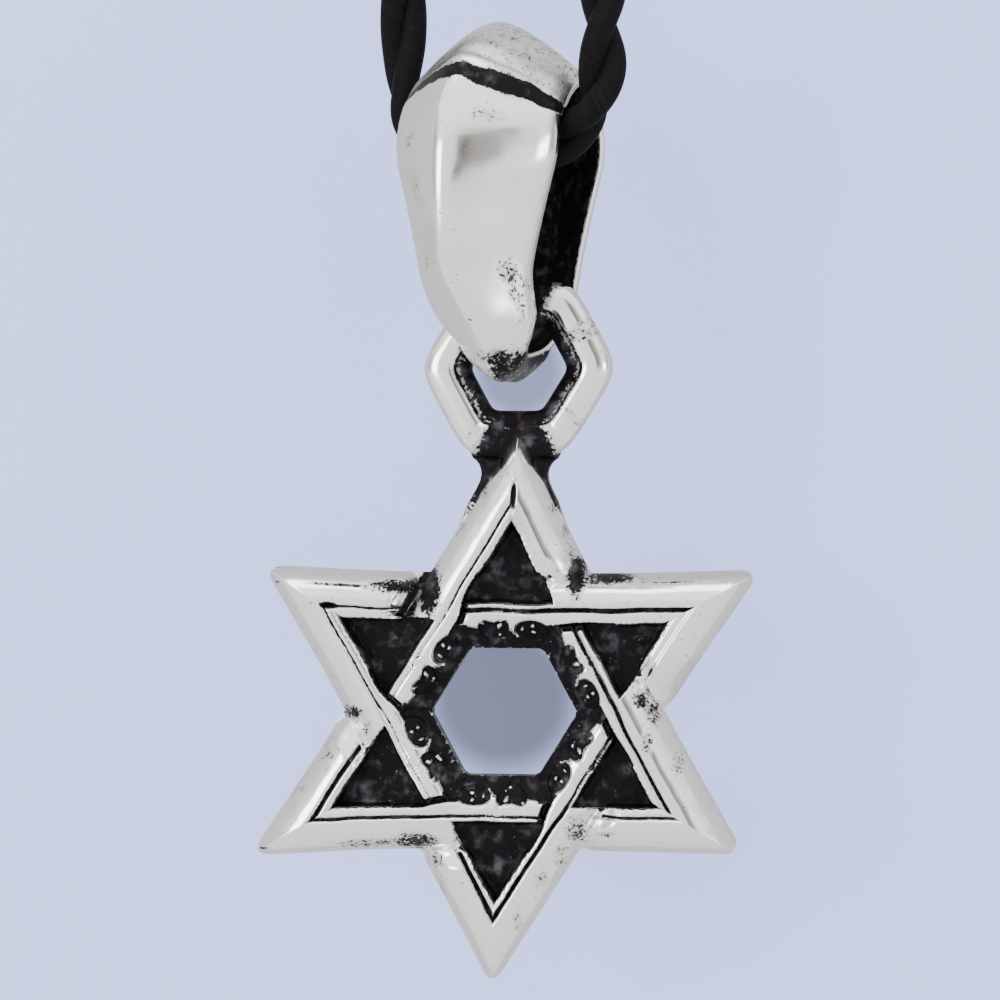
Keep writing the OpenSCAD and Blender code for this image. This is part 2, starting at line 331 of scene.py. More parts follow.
# Places where the black is left on or lies in a pit: x, y, reach along x and y, strength
STAINS = [
    (-8.0, 6.12, 1.8, 0.1, 0.75), (-5.4, 6.15, 1.6, 0.4, 0.85), (-3.85, 6.0, 0.6, 1.3, 1.15),
    (-11.3, 6.8, 0.2, 0.07, 0.8), (-11.05, 6.1, 0.2, 0.07, 0.8),
    (3.35, 6.75, 0.5, 1.1, 1.05), (4.9, 6.65, 1.5, 0.36, 0.9), (8.0, 6.4, 2.0, 0.06, 0.7),
    (6.8, 0.7, 0.5, 0.5, 0.74), (7.4, 0.1, 0.5, 0.7, 0.66), (7.2, -1.3, 0.35, 0.9, 0.54),
    (8.7, -2.4, 0.35, 1.0, 0.46),
    (3.9, -5.7, 0.7, 0.9, 0.58), (5.3, -5.9, 0.9, 0.2, 0.46), (3.2, -6.9, 0.4, 0.8, 0.46),
    (-7.4, -0.05, 0.7, 0.4, 0.78), (-6.7, -0.8, 0.5, 0.6, 0.5),
    (-8.5, -2.0, 0.7, 0.9, 0.42), (-9.9, -3.4, 0.6, 1.0, 0.42), (-11.15, -6.45, 0.35, 0.07, 0.8),
    (-4.0, -6.35, 1.2, 0.5, 0.82), (-6.3, -6.45, 1.9, 0.3, 0.55), (-3.0, -7.3, 0.5, 0.6, 0.52),
    (2.3, -8.1, 0.35, 0.9, 0.43), (-2.6, -9.0, 0.3, 0.8, 0.4), (1.2, -10.2, 0.3, 0.7, 0.4),
    (-1.5, 11.1, 0.35, 1.0, 0.58), (-2.6, 9.6, 0.5, 1.1, 0.5), (1.95, 10.5, 0.35, 1.1, 0.5),
    (2.7, 9.0, 0.35, 1.0, 0.46), (3.0, 7.9, 0.3, 0.6, 0.44),
]
PITS = [(-8.6, 5.12, 0.55, 0.2), (0.02, 10.5, 0.17, 0.75)]
PIT_D = 0.25
# The carved motifs by their place along a bar: distance, half length, and whether it is hooked
SCROLLS = [(-0.62, 0.8, True), (1.25, 0.84, False)]
SCROLL_IN = 2.74
SCROLL_HALF_W = 0.52
SCROLL_D = 0.45
DROP_RISE = 0.33
BAND_D = 0.22
# Bright drops in each motif, as shares of its half length and half width: place and size
DROPS = {
    True: [(-0.75, -0.42, 0.2, 0.2), (0.35, -0.4, 0.22, 0.24), (0.2, 0.45, 0.3, 0.1)],
    False: [(0.12, -0.4, 0.16, 0.22), (0.16, 0.22, 0.17, 0.16), (-0.52, -0.05, 0.1, 0.26)],
}
STRIP_END = 2.6


def smooth_step(low, high, value):
    """0 below low, 1 above high, and a smooth rise between them."""
    t = min(1.0, max(0.0, (value - low) / (high - low)))
    return t * t * (3 - 2 * t)


def bar_height(inside, groove, groove_at, width):
    """Height and blackness of a bar at a distance inside its outer edge."""
    if inside < RIDGE_IN:
        risen = (1 - (1 - max(inside, 0) / RIDGE_IN) ** BEVEL_POWER) ** BEVEL_ROUND
        height = RIM_T + (STAR_T - RIM_T) * risen
    else:
        height = STAR_T - (STAR_T - STRIP_T) * smooth_step(RIDGE_IN, RIDGE_IN + 0.2, inside)
    across = abs(inside - groove_at) / (GROOVE_HALF_W * (0.2 + 0.8 * groove))
    cut = 1 - smooth_step(0.1, 1.1, across)
    edge = smooth_step(width - 0.14, width, inside)
    deep = GROOVE_D * groove * cut
    black = min(1.0, 1.4 * cut) * smooth_step(0.0, 0.5, groove)
    return height - deep - STRIP_EDGE_DROP * edge, black


def scroll_relief(along, inside):
    """Depth and blackness of the carved band at a place along a bar and inside its edge."""
    # The strip ends in a tongue between the motifs, which leans over like a wave
    lean = 0.3 + 0.6 * (inside - STRIP_END)
    tongue = 0.5 * math.exp(-((along - lean) / 0.2) ** 2)
    kept = STRIP_END + tongue + 0.1 * noise.noise(Vector((along * 2.1, inside, 7)))
    black = smooth_step(kept - 0.04, kept + 0.06, inside)
    depth = BAND_D * black
    for at, half, hooked in SCROLLS:
        dx = (along - at) / half
        dy = (inside - SCROLL_IN) / SCROLL_HALF_W
        if hooked:
            # The hooked motif bites deeper at its two ends
            dy -= 0.28 * math.cos(3.4 * dx)
        reach = math.hypot(dx, dy)
        if reach > 1.2:
            continue
        hollow = 1 - smooth_step(0.88, 1.02, reach)
        raised = 0.0
        for bx, by, size_x, size_y in DROPS[hooked]:
            away = math.hypot((dx - bx) / size_x, (dy - by) / size_y)
            raised = max(raised, 1 - smooth_step(0.4, 1.1, away))
        depth = depth * (1 - hollow) + hollow * (SCROLL_D - DROP_RISE * raised)
        black = black * (1 - hollow) + hollow * (1 - raised)
    return depth, black


def along_bar(x, y, facing):
    """Distance along a bar from its middle, clockwise."""
    a = math.radians(facing - 90)
    return x * math.cos(a) + y * math.sin(a)


def at_place(values, s):
    """Value at a place along a bar, from those before, between and after the crossings."""
    before, middle, after = values
    near, far = CROSSING_AT - CROSSING_HALF, CROSSING_AT + CROSSING_HALF
    changed = before + (middle - before) * smooth_step(-far, -near, s)
    return changed + (after - middle) * smooth_step(near, far, s)


def bitten(height, black, x, y, inside, beyond):
    """The same height and blackness, with the motifs cut into the inner side of the strip."""
    if inside < 1.9 or beyond < 0.05:
        return height, black
    facing = max((f for f, *_ in BARS), key=lambda f: x * math.cos(math.radians(f))
                 + y * math.sin(math.radians(f)))
    depth, marked = scroll_relief(along_bar(x, y, facing), inside)
    share = smooth_step(0.05, 0.25, beyond) * smooth_step(1.9, 2.1, inside)
    return height - depth * share, max(black, marked * share)


def star_relief(x, y):
    """Height and blackness of the star's front at x, y from its middle, in mm."""
    inside, bar, width = {}, {}, {}
    nearest = None
    for triangle in ("up", "down"):
        mine = []
        for facing, belongs, grooves, places, widths in BARS:
            if belongs == triangle:
                a = math.radians(facing)
                mine.append((x * math.cos(a) + y * math.sin(a), facing, grooves, places, widths))
        mine.sort(reverse=True)
        first, second = mine[0][0], mine[1][0]
        # Where two bars of a triangle meet, the mitre is rounded over
        mitred = (first + second + math.sqrt((first - second) ** 2 + 0.12)) / 2
        inside[triangle] = STAR_EDGE_R - mitred + 0.03 / (abs(first - second) + 0.173)
        s = along_bar(x, y, mine[0][1])
        width[triangle] = at_place(mine[0][4], s)
        bar[triangle] = (at_place(mine[0][2], s), at_place(mine[0][3], s), width[triangle])
        if nearest is None or first > nearest[0]:
            nearest = (first, mine[0][1])
    ray = round(math.degrees(math.atan2(y, x)) / 60) * 60 % 360
    over, sunk_out, sunk_in = CROSSINGS[ray]
    under = "down" if over == "up" else "up"
    io, iu = inside[over], inside[under]
    on_over = -0.02 <= io <= width[over]
    on_under = -0.02 <= iu <= width[under]
    if on_over:
        height, black = bar_height(io, *bar[over])
        if io < RIDGE_IN:
            if iu > width[under]:
                wall = smooth_step(ARM_BASE_IN, ARM_BASE_IN + FLOOR_WALL_W, io)
                return FLOOR_T + (height - FLOOR_T) * wall, 1 - smooth_step(0.6, 1.0, wall)
            if iu > -0.02:
                h_under, k_under = bar_height(iu, 0.0, *bar[under][1:])
                lowered = h_under - sunk_out - 1.5 * max(io, 0) / RIDGE_IN
                if lowered > height:
                    black = max(k_under, 0.9 * smooth_step(0.6, 1.2, sunk_out))
                height = (height + lowered + math.sqrt((height - lowered) ** 2 + 0.02)) / 2
            return height, black
        return bitten(height, black, x, y, io, iu - width[under])
    if on_under:
        height, black = bar_height(iu, *bar[under])
        if io < 0:
            sunk = sunk_out * (1 - smooth_step(0.0, 0.9, -io))
            black = max(black, smooth_step(0.6, 1.1, sunk))
            return max(height - sunk, min(height, RIM_T)), black
        gap = io - width[over]
        sunk = sunk_in * (1 - smooth_step(0.0, 0.5, gap))
        height = max(height - sunk, FLOOR_T)
        black = max(black, smooth_step(0.25, 0.7, sunk))
        if iu < RIDGE_IN:
            wall = smooth_step(ARM_BASE_IN, ARM_BASE_IN + FLOOR_WALL_W, iu)
            height = FLOOR_T + (height - FLOOR_T) * wall
            black = max(black, 1 - smooth_step(0.6, 1.0, wall))
        edge = smooth_step(0.0, 0.12, gap)
        height = (STRIP_T - STRIP_EDGE_DROP) * (1 - edge) + height * edge
        return bitten(height, black, x, y, iu, gap)
    if io > 0 and iu > 0:
        from_edge = STAR_EDGE_R - nearest[0]
        s = along_bar(x, y, nearest[1])
        down = (from_edge - BAR_W) / (STAR_EDGE_R - BAR_W - HOLE_R)
        top = STRIP_T - STRIP_EDGE_DROP
        height = top - (top - HOLE_RIM_T) * max(0.0, down) ** 1.2
        depth, black = scroll_relief(s, from_edge)
        # Between the bars and round the hole the ground is rough and worn
        corner = 1 - smooth_step(0.3, 0.75, abs(abs(s) - CORNER_AT))
        rough = noise.noise(Vector((x * 2.6, y * 2.6, 1)))
        rough += 0.6 * noise.noise(Vector((x * 6, y * 6, 2)))
        lip = 1 - smooth_step(0.0, 0.12, STAR_EDGE_R - HOLE_R - from_edge)
        band = smooth_step(STRIP_END, 3.0, from_edge)
        black = max(black, corner) - 0.25 * max(0.0, rough) * band - 0.25 * lip
        return height - depth + 0.07 * rough * max(corner, band), black
    # The floor of a recess, with a soft edge along the bars that are beside it
    beside = [far for far in (io - width[over], iu - width[under]) if far > 0]
    edge = smooth_step(0.0, 0.24, min(beside, default=BAR_W))
    rough = noise.noise(Vector((x * 2.2, y * 2.2, 4)))
    return FLOOR_T + 0.06 * rough + (STRIP_T - FLOOR_T) * (1 - edge), smooth_step(0.0, 0.5, edge)


def stain(x, y):
    """How much black is left on a bevel at x, y."""
    most = 0.0
    for cx, cy, rx, ry, strength in STAINS:
        reach = math.hypot((x - cx) / rx, (y - cy) / ry)
        if reach < 1.7:
            most = max(most, strength * (1 - smooth_step(0.1, 1.7, reach)))
    return most


def edge_distance(x, y):
    """How far x, y lies inside the star's outline."""
    reach = {"up": [], "down": []}
    for facing, triangle, *_ in BARS:
        a = math.radians(facing)
        reach[triangle].append(x * math.cos(a) + y * math.sin(a))
    return STAR_EDGE_R - min(max(reach["up"]), max(reach["down"]))


def uneven(x, y, seed):
    """A slow random shift of up to about 0.1 mm."""
    slow = noise.noise(Vector((x * 0.55, y * 0.55, seed)))
    return 0.07 * slow + 0.02 * noise.noise(Vector((x * 1.7, y * 1.7, seed)))


def hang(bm, raise_by):
    """Stands a mesh up in the plane of the drop, its middle raised above that of the star."""
    bmesh.ops.transform(bm, verts=bm.verts, matrix=Matrix((
        (1, DROP_LEAN, 0, STAR_X + DROP_LEAN * (raise_by - LEAN_FROM)),
        (0, 0, -1, STAR_BACK_Y), (0, 1, 0, STAR_Z + raise_by), (0, 0, 0, 1))))


def turn_outwards(bm):
    """Faces point outwards and are shaded smooth."""
    bmesh.ops.recalc_face_normals(bm, faces=bm.faces)
    if bm.calc_volume(signed=True) < 0:
        bmesh.ops.reverse_faces(bm, faces=bm.faces)
    for face in bm.faces:
        face.smooth = True


star_mesh = bmesh.new()
black_layer = star_mesh.verts.layers.float.new("black")
notch_r = STAR_EDGE_R / math.cos(math.radians(30))
hole_corner_r = HOLE_R / math.cos(math.radians(30))
tip_r = 2 * STAR_EDGE_R
round_centre = tip_r - 2 * TIP_ROUND_R
round_end_x = TIP_ROUND_R * math.cos(math.radians(30))
for arm in range(6):
    for side in (1, -1):
        made = bmesh.ops.create_grid(
            star_mesh, x_segments=STAR_COLUMNS, y_segments=STAR_ROWS, size=0.5)["verts"]
        angle = math.radians(60 * arm)
        for vert in made:
            # One side of the patch runs up the middle of an arm, the other up to a notch
            across = (vert.co.x + 0.5) ** 1.15
            up = 1 - (1 - (vert.co.y + 0.5)) ** 1.25
            hole_x = across * hole_corner_r / 2
            corner = smooth_step(0.85, 1.0, across)
            pulled = HOLE_ROUND * corner * corner
            hole_y = HOLE_R - pulled * math.cos(math.radians(30))
            hole_x -= pulled * math.sin(math.radians(30))
            edge_x = across * notch_r / 2
            if edge_x < round_end_x:
                edge_y = round_centre + math.sqrt(TIP_ROUND_R**2 - edge_x**2)
            else:
                edge_y = tip_r - edge_x * math.sqrt(3)
            px = side * (hole_x + (edge_x - hole_x) * up)
            py = hole_y + (edge_y - hole_y) * up
            x = px * math.cos(angle) + py * math.sin(angle)
            y = py * math.cos(angle) - px * math.sin(angle)
            vert.co = (x, y, 0)
        if side < 0:
            faces = {f for v in made for f in v.link_faces}
            bmesh.ops.reverse_faces(star_mesh, faces=list(faces))
bmesh.ops.remove_doubles(star_mesh, verts=star_mesh.verts, dist=0.004)
for vert in star_mesh.verts:
    # The inner lines are a little uneven, as cut by hand in the wax
    x, y = vert.co.xy
    free = smooth_step(0.2, 1.5, edge_distance(x, y))
    height, black = star_relief(x + free * uneven(x, y, 5), y + free * uneven(x, y, 9))
    for pit_x, pit_y, pit_rx, pit_ry in PITS:
        pit = 1 - smooth_step(0.4, 1.1, math.hypot((x - pit_x) / pit_rx, (y - pit_y) / pit_ry))
        height -= PIT_D * pit
        black = max(black, 1.2 * pit)
    vert.co.z = height + 0.1 * uneven(x, y, 3)
    vert[black_layer] = max(black, stain(x, y))
for vert in star_mesh.verts:
    # The arms aren't quite alike in length and direction
    shift = Vector((0, 0))
    for turn, shift_x, shift_y in TIP_SHIFTS:
        tip = Vector((math.cos(math.radians(turn)), math.sin(math.radians(turn)))) * tip_r
        near = math.exp(-((vert.co.xy - tip).length / TIP_REACH) ** 2)
        shift += near * Vector((shift_x, shift_y))
    vert.co.xy += shift
rim = [e for e in star_mesh.edges if e.is_boundary]
rim_edges = set(rim)
lower = bmesh.ops.extrude_edge_only(star_mesh, edges=rim)["geom"]
lower_verts = [v for v in lower if isinstance(v, bmesh.types.BMVert)]
for vert in lower_verts:
    vert.co.z = BACK_BEVEL_T
    vert[black_layer] = 0.9 if vert.co.xy.length < BETWEEN_R else 0.0
lower_edges = [e for e in lower if isinstance(e, bmesh.types.BMEdge)]
back = bmesh.ops.extrude_edge_only(star_mesh, edges=lower_edges)["geom"]
back_verts = [v for v in back if isinstance(v, bmesh.types.BMVert)]
for vert in back_verts:
    reach = vert.co.xy.length
    vert.co.z = 0
    vert.co.xy *= 1 + (BACK_BEVEL_W if reach < BETWEEN_R else -BACK_BEVEL_W) / reach
    vert[black_layer] = 0.0
back_edges = [e for e in back if isinstance(e, bmesh.types.BMEdge)]
hole_edges = [e for e in back_edges if e.verts[0].co.xy.length < BETWEEN_R]
spokes = bmesh.ops.extrude_edge_only(star_mesh, edges=hole_edges)["geom"]


def turn_of(vert):
    """Direction of a corner from the star's middle, from just below the x axis round."""
    return (math.atan2(vert.co.y, vert.co.x) + 0.001) % math.tau


inner = sorted([v for v in spokes if isinstance(v, bmesh.types.BMVert)], key=turn_of)
outer = sorted([v for v in back_verts if v.co.xy.length > BETWEEN_R], key=turn_of)
for new_vert, old_vert in zip(inner, outer):
    new_vert.co = old_vert.co
bmesh.ops.remove_doubles(star_mesh, verts=inner + outer, dist=0.0001)
turn_outwards(star_mesh)
for edge in star_mesh.edges:
    low_down = max(v.co.z for v in edge.verts) < 0.5
    if edge in rim_edges or low_down and edge.calc_face_angle(0) > 0.4:
        edge.smooth = False
hang(star_mesh, 0)
star = finished(star_mesh, "woven_star", "drop")
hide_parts("star_drop")


# The hexagonal ring above the star, of the same casting: rounded outside, with a wide
# blackened slope down to its hole.
RING_R = 4.3
RING_HOLE_R = 2.1
# Section of the ring from its hole outwards and round the back: distance, height, blackness
RING_SECTION = [
    (2.1, 0.35, 1.0), (2.1, 0.7, 1.0), (2.2, 0.95, 1.0), (2.38, 1.12, 1.0),
    (2.55, 1.2, 0.8), (2.72, 1.32, 0.55), (2.84, 1.48, 0.85), (2.94, 1.57, 0.15),
    (3.15, 1.6, 0.0), (3.5, 1.62, 0.0), (3.85, 1.56, 0.0), (4.08, 1.42, 0.0),
    (4.22, 1.2, 0.0), (4.3, 0.9, 0.0), (4.28, 0.6, 0.0), (4.17, 0.36, 0.0),
    (4.0, 0.22, 0.0), (3.5, 0.2, 0.0), (2.4, 0.2, 0.2), (2.2, 0.22, 0.6),
]
RING_TURNS = 180
# How sharp its six corners are at the hole and outside
HOLE_CORNERS = 18
OUTER_CORNERS = 11
# Its lower side is worn down: above this height, by this share, and off its outer side
WORN_ABOVE = 1.0
WORN_SHARE = 0.55
WORN_OFF = 0.16
SLOPE_EDGE_AT = 2.85
LOWER_SIDE = 270
# Places where the ring's front is black, by direction in degrees and half width
RING_STAINS = [(LOWER_SIDE, 27, 1.0), (92, 25, 1.0), (30, 8, 0.42), (318, 6, 0.3)]


def spin_round(bm, section, steps):
    """Closes a section with edges and spins it once round the z axis."""
    edges = [bm.edges.new((section[i], section[(i + 1) % len(section)]))
             for i in range(len(section))]
    bmesh.ops.spin(
        bm, geom=section + edges, cent=(0, 0, 0), axis=(0, 0, 1), angle=math.tau, steps=steps,
        use_merge=True)


ring_mesh = bmesh.new()
black_layer = ring_mesh.verts.layers.float.new("black")
section = []
for distance, height, black in RING_SECTION:
    vert = ring_mesh.verts.new((distance, 0, height))
    vert[black_layer] = black
    section.append(vert)
spin_round(ring_mesh, section, RING_TURNS)
for vert in ring_mesh.verts:
    distance = math.hypot(vert.co.x, vert.co.y)
    facing = math.atan2(vert.co.y, vert.co.x)
    share = (distance - RING_HOLE_R) / (RING_R - RING_HOLE_R)
    power = HOLE_CORNERS + (OUTER_CORNERS - HOLE_CORNERS) * share
    flats = sum(abs(math.cos(facing - math.radians(a))) ** power for a in (90, 30, -30))
    # The middle of a flat keeps its distance
    middle = sum(abs(math.cos(math.radians(a))) ** power for a in (0, 60, 60))
    vert.co.xy *= (middle / flats) ** (1 / power)
    for at, half, strength in RING_STAINS:
        away = abs((math.degrees(facing) - at + 180) % 360 - 180)
        if at == LOWER_SIDE and vert.co.z > WORN_ABOVE:
            # The tip of the star's top arm stands on it
            low = 1 - smooth_step(half * 0.8, half * 1.3, away)
            vert.co.z -= WORN_SHARE * low * (vert.co.z - WORN_ABOVE)
        if at == LOWER_SIDE and distance > 3.6:
            vert.co.y -= WORN_OFF * (1 - smooth_step(half * 0.9, half * 1.25, away))
        if away < half * 1.3 and vert.co.z > 0.5:
            mark = strength * (1 - smooth_step(half * 0.7, half * 1.3, away))
            if at == LOWER_SIDE:
                # The edge of the slope shines through
                mark *= 1 - 0.5 * math.exp(-((distance - SLOPE_EDGE_AT) / 0.08) ** 2)
            vert[black_layer] = max(vert[black_layer], mark)
turn_outwards(ring_mesh)
hang(ring_mesh, RING_Z - STAR_Z)
ring = finished(ring_mesh, "hexagonal_ring", "drop")
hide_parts("star_drop")


# The neck: a blackened web, cast between the ring and the top arm, with fillets below the ring.
NECK_T = 1.2
NECK_BACK = 0.02
NECK_EDGE_R = 0.3
NECK_TOP_SINK = 0.4
# Half the outline from under the ring down to the arm, from the star's middle: half width, height
NECK_LINE = [
    (2.2, 13.1), (2.2, 12.75), (2.1, 12.55), (1.92, 12.42), (1.78, 12.25), (1.68, 12.0),
    (1.64, 11.75), (1.7, 11.4), (1.88, 11.0), (2.2, 10.4), (2.6, 9.4), (2.75, 8.9), (2.3, 8.5),
]
neck_mesh = bmesh.new()
black_layer = neck_mesh.verts.layers.float.new("black")
outline = [(x, y) for x, y in NECK_LINE] + [(-x, y) for x, y in reversed(NECK_LINE)]
base = neck_mesh.faces.new([neck_mesh.verts.new((x, y, NECK_BACK)) for x, y in outline])
risen = bmesh.ops.extrude_face_region(neck_mesh, geom=[base])["geom"]
top = [v for v in risen if isinstance(v, bmesh.types.BMVert)]
bmesh.ops.translate(neck_mesh, vec=(0, 0, NECK_T - NECK_BACK), verts=top)
top_edges = [e for e in risen if isinstance(e, bmesh.types.BMEdge)]
bmesh.ops.bevel(
    neck_mesh, geom=top_edges, offset=NECK_EDGE_R, segments=4, profile=0.5, affect="EDGES",
    material=-1)
bmesh.ops.triangulate(neck_mesh, faces=[f for f in neck_mesh.faces if len(f.verts) > 4])
turn_outwards(neck_mesh)
for vert in neck_mesh.verts:
    # Its upper end lies below the worn front of the ring
    vert.co.z = min(vert.co.z, NECK_T - NECK_TOP_SINK * smooth_step(12.2, 12.7, vert.co.y))
    vert[black_layer] = 0.25 + 0.85 * smooth_step(9.4, 11.2, vert.co.y)
hang(neck_mesh, 0)
neck = finished(neck_mesh, "neck_web", "drop")
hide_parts("star_drop")


# The bail: a band of cast silver bent into a closed loop. It tapers from its shoulders to its
# foot, has a keel along its middle, and is blackened inside.
BAIL_W = 8.9
BAIL_IN_H = 12.9
BAIL_IN_D = 4.4
BAIL_WALL = 0.7
KEEL_H = 3.5
KEEL_EXTRA = 0.45
KEEL_ROUND = 1.3
KEEL_BLUNT = 0.004
# How much the band's edges are rounded outside and inside, as shares of its wall
EDGE_ROUND_OUT = 0.35
EDGE_ROUND_IN = 0.12
BAIL_YAW = 24
# How far its foot is bent to the right, and what share of the turn it has lost
FOOT_SHIFT = 0.35
FOOT_UNTURN = 0.65
# From the top to the foot: way down, half depth, half width and keel, as shares of the sizes
BAIL_ROWS = [
    (0.000, 0.00, 1.00, 0.80), (0.030, 0.35, 1.00, 0.82), (0.070, 0.59, 1.00, 0.87),
    (0.105, 0.77, 1.00, 0.91), (0.150, 0.89, 1.00, 0.95), (0.210, 0.96, 1.00, 0.98),
    (0.290, 1.00, 0.97, 1.00),
    (0.420, 1.00, 0.87, 1.00), (0.600, 1.00, 0.74, 0.92), (0.760, 1.00, 0.65, 0.74),
    (0.870, 1.00, 0.57, 0.56), (0.945, 0.93, 0.43, 0.42), (0.980, 0.74, 0.33, 0.32),
    (1.000, 0.00, 0.26, 0.22),
]
# Patches of small pits: place across and down the band, and how far they reach
BAIL_PITS = [(-0.6, -2.9, 0.2, 0.6), (-0.5, -5.0, 0.16, 1.0), (-0.45, -8.6, 0.14, 0.9),
             (0.45, -2.2, 0.25, 0.3), (0.86, -10.2, 0.22, 1.7), (0.76, -8.9, 0.2, 0.8)]
ALL_OVER_PITS = 0.06
# A painted reflection, the dark band across its front: height at the left edge, drop to the keel,
# and half widths
REFLECTION_BAND_Z = -1.17
REFLECTION_BAND_DROP = 0.2
REFLECTION_BAND_LEFT = 0.04
REFLECTION_BAND_WIDENS = 0.1
BAIL_STEPS = 10
BAIL_COLUMNS = 44

front = [Vector((-d * BAIL_IN_D / 2, -h * BAIL_IN_H, w * BAIL_W / 2, k * KEEL_H))
         for h, d, w, k in BAIL_ROWS]
back = [Vector((-p[0], p[1], p[2], p[3])) for p in reversed(front[1:-1])]
loop = front + back
count = len(loop)
line = [between(loop[i - 1], loop[i], loop[(i + 1) % count], loop[(i + 2) % count], s / BAIL_STEPS)
        for i in range(count) for s in range(BAIL_STEPS)]
turns = len(line)
# The band starts as a plain flat ring of this radius, whose corners then find their places
SECTION_START = 20
bail_mesh = bmesh.new()
black_layer = bail_mesh.verts.layers.float.new("black")
shares = [-1 + 2 * i / (BAIL_COLUMNS - 1) for i in range(BAIL_COLUMNS)]
section = [bail_mesh.verts.new((SECTION_START + 1, 0, share)) for share in shares]
section += [bail_mesh.verts.new((SECTION_START, 0, share)) for share in reversed(shares)]
spin_round(bail_mesh, section, turns)
for vert in bail_mesh.verts:
    i = round(math.atan2(vert.co.y, vert.co.x) / math.tau * turns) % turns
    layer = math.hypot(vert.co.x, vert.co.y) - SECTION_START
    across = vert.co.z
    here = line[i]
    ahead = line[(i + 1) % turns] - line[i - 1]
    along = Vector((ahead[0], ahead[1])).normalized()
    out = Vector((along.y, -along.x))
    crest = math.sqrt(across * across + KEEL_BLUNT)
    rise = max(0.0, 1 - crest**KEEL_ROUND)
    if layer > 0.5:
        round_off = EDGE_ROUND_OUT * BAIL_WALL * smooth_step(0.93, 1.0, abs(across))
        height = BAIL_WALL + here[3] * rise - round_off
        # The top is dotted with small pits, and a few lie all over the band
        black = 0.24 + 0.05 * smooth_step(-0.3, 0.5, across)
        black *= 1 - smooth_step(0.6, 2.2, -here[1])
        black += ALL_OVER_PITS
        black += 0.6 * smooth_step(0.95, 1.0, abs(across)) * smooth_step(-11, -13, here[1])
        # The band is darker under the foot, most of it to the right of the keel
        under = smooth_step(-12.5, -13.2, here[1] + out.y * height)
        black += (0.3 + 0.4 * smooth_step(-0.1, 0.15, across)) * under
        for pit_at, pit_z, reach_across, reach_z in BAIL_PITS:
            away = math.hypot((across - pit_at) / reach_across, (here[1] - pit_z) / reach_z)
            black += 0.35 * (1 - smooth_step(0.3, 1.2, away))
        if here[0] < 0:
            # A painted reflection: a dark band crosses the front just below the top
            reflection_band = REFLECTION_BAND_Z - REFLECTION_BAND_DROP * smooth_step(-0.95, -0.1, across)
            reflection_band += 0.1 * noise.noise(Vector((across * 5, 0, 3)))
            half = REFLECTION_BAND_LEFT + REFLECTION_BAND_WIDENS * smooth_step(0.05, 0.6, across)
            black += 1.2 * (1 - smooth_step(half * 0.8, half + 0.12, abs(here[1] - reflection_band)))
    else:
        round_off = EDGE_ROUND_IN * BAIL_WALL * smooth_step(0.95, 1.0, abs(across))
        height = max(0, here[3] - KEEL_EXTRA) * rise + round_off
        black = 1 - smooth_step(0.93, 0.99, abs(across))
    vert.co = (across * here[2], here[0] + out.x * height, here[1] + out.y * height)
    vert[black_layer] = black
turn_outwards(bail_mesh)
for vert in bail_mesh.verts:
    # The bail is turned to the left, and its foot less so, with its tip a little to the right
    low = smooth_step(-8.6, -13.4, vert.co.z)
    turned = Vector(vert.co.xy)
    turned.rotate(Matrix.Rotation(math.radians(-BAIL_YAW * (1 - FOOT_UNTURN * low)), 2))
    vert.co.xy = turned
    vert.co.x += FOOT_SHIFT * low
bail = finished(bail_mesh, "keeled_bail", "hanger")
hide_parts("bail")


# Blackened silver: polished metal with the oxide left in the hollows. The "black" attribute
# says where, and also carries the painted reflection across the bail's front; noise frays its
# edges.
# Fine scratches and small pits mark the polish.
SILVER = (0.95, 0.935, 0.905, 1)
OXIDE_DARK = (0.006, 0.0055, 0.007, 1)
OXIDE_WORN = (0.09, 0.085, 0.095, 1)
FILM = (0.28, 0.25, 0.27, 1)
OXIDE_BROWN = (0.035, 0.022, 0.027, 1)

silver = bpy.data.materials.new("blackened_silver")
silver.use_nodes = True
nodes = silver.node_tree.nodes
links = silver.node_tree.links
shader = nodes["Principled BSDF"]


def add(kind, **values):
    """A node with the given values on its named inputs."""
    node = nodes.new(kind)
    for name, value in values.items():
        node.inputs[name.replace("_", " ")].default_value = value
    return node


def blend(fac, first, second):
    """Mixes two colours or sockets by fac."""
    node = nodes.new("ShaderNodeMix")
    node.data_type = "RGBA"
    for socket, value in ((node.inputs[0], fac), (node.inputs[6], first), (node.inputs[7], second)):
        if isinstance(value, bpy.types.NodeSocket):
            links.new(value, socket)
        else:
            socket.default_value = value
    return node.outputs[2]


def calc(operation, first, second):
    """One step of arithmetic on sockets or numbers."""
    node = nodes.new("ShaderNodeMath")
    node.operation = operation
    for socket, value in zip(node.inputs, (first, second)):
        if isinstance(value, bpy.types.NodeSocket):
            links.new(value, socket)
        else:
            socket.default_value = value
    return node.outputs[0]


def ramp(value, low, high):
    """0 below low, 1 above high."""
    node = nodes.new("ShaderNodeMapRange")
    node.interpolation_type = "SMOOTHSTEP"
    links.new(value, node.inputs["Value"])
    node.inputs["From Min"].default_value = low
    node.inputs["From Max"].default_value = high
    return node.outputs["Result"]


place = nodes.new("ShaderNodeTexCoord").outputs["Object"]
black = nodes.new("ShaderNodeAttribute")
black.attribute_name = "black"


def grain(scale, detail, stretch=(1, 1, 1)):
    """Noise with features of about one scale-th of a metre."""
    at = add("ShaderNodeMapping", Scale=stretch)
    node = add("ShaderNodeTexNoise", Scale=scale, Detail=detail)
    links.new(place, at.inputs["Vector"])
    links.new(at.outputs["Vector"], node.inputs["Vector"])
    return node.outputs["Fac"]


